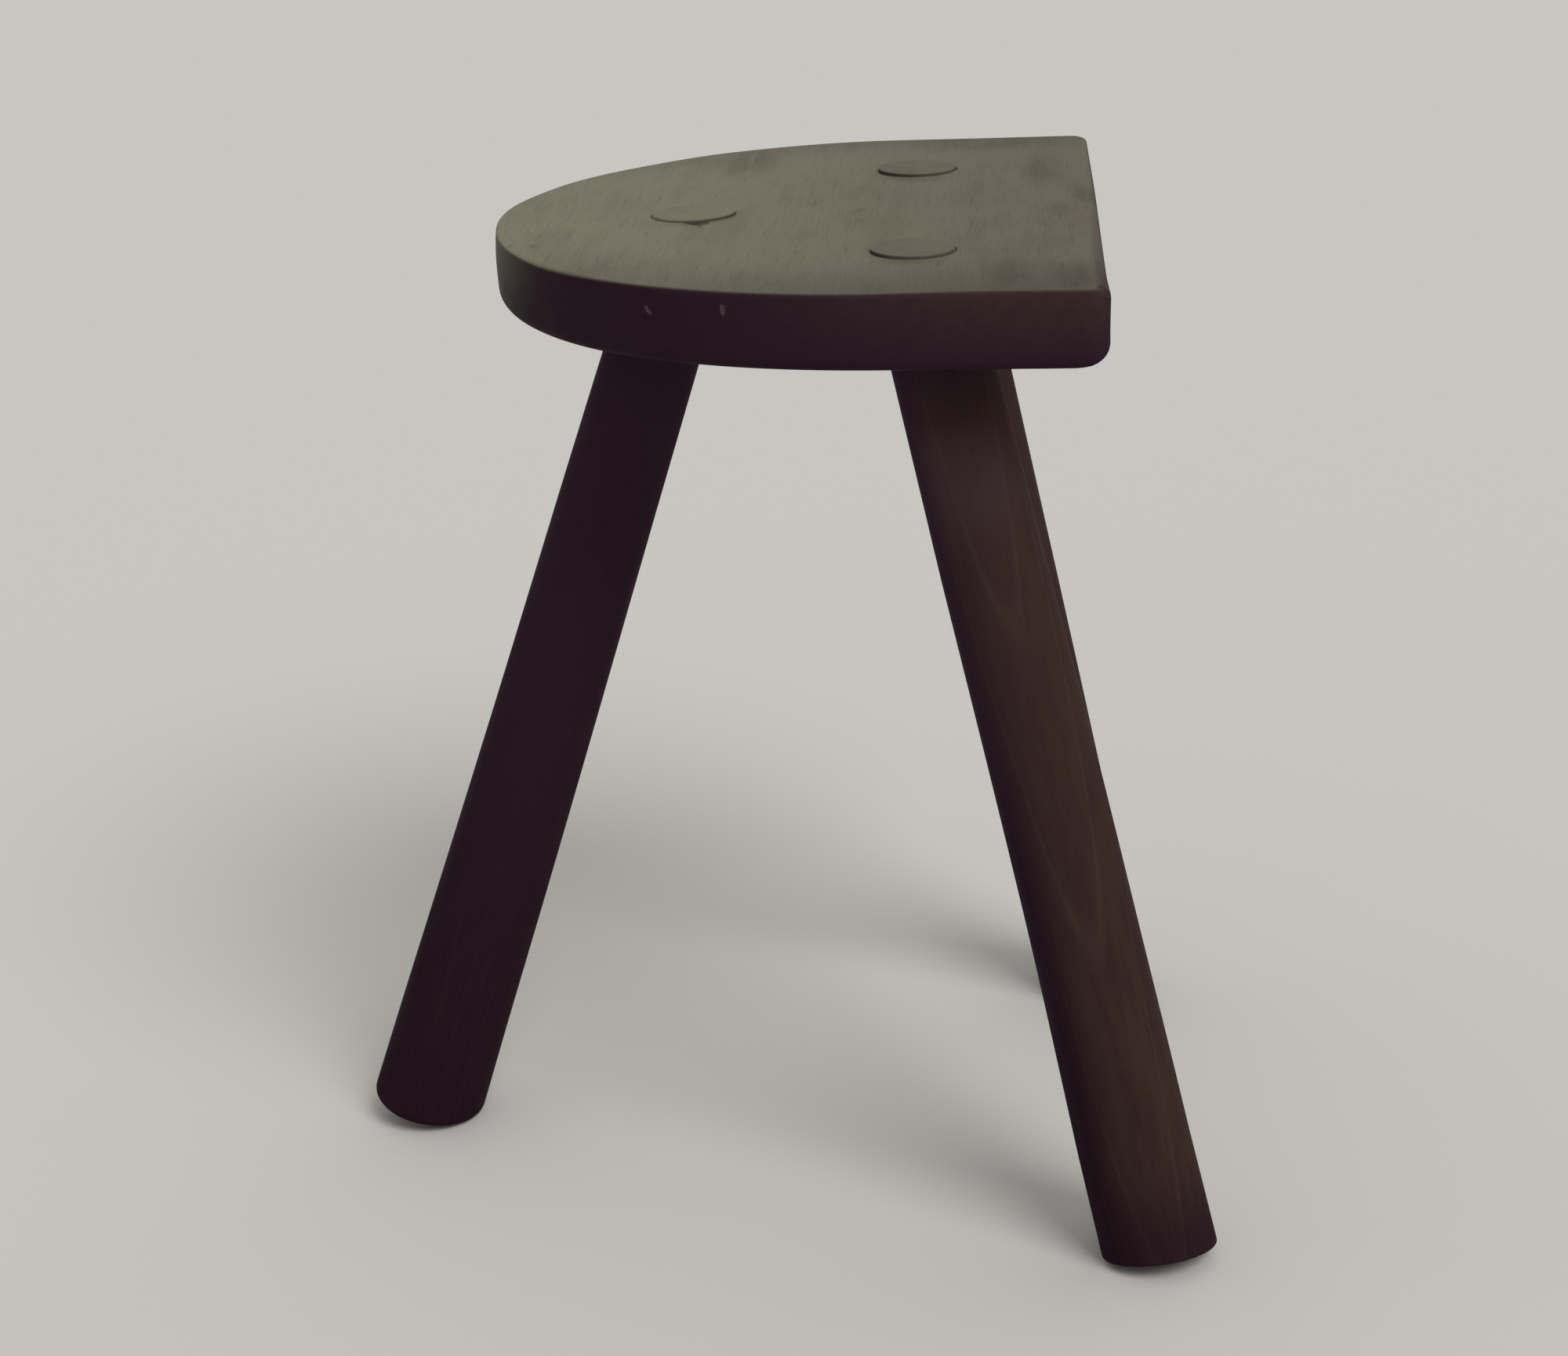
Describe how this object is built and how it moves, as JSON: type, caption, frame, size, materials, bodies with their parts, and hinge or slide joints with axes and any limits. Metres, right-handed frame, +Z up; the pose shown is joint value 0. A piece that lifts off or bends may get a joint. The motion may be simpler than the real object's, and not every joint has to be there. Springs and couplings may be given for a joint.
{
  "type": "milking stool",
  "caption": "Low milking stool with a thick D-shaped seat board on splayed, tapered round legs whose through tenons show on top of the seat.",
  "frame": {"origin": "on the floor, under the middle of the whole stool's box", "axes": "+Z up, +X towards the seat's straight end, +Y towards the back leg"},
  "size_m": [0.366, 0.3, 0.4074],
  "materials": {
    "seat_wood": "dark stained board, worn to a dull waxed sheen on top",
    "leg_wood": "very dark brown stain, dull wax"
  },
  "bodies": {
    "root": {"seat": "seat_wood", "nose_leg": "leg_wood", "front_leg": "leg_wood", "back_leg": "leg_wood"}
  },
  "joints": []
}
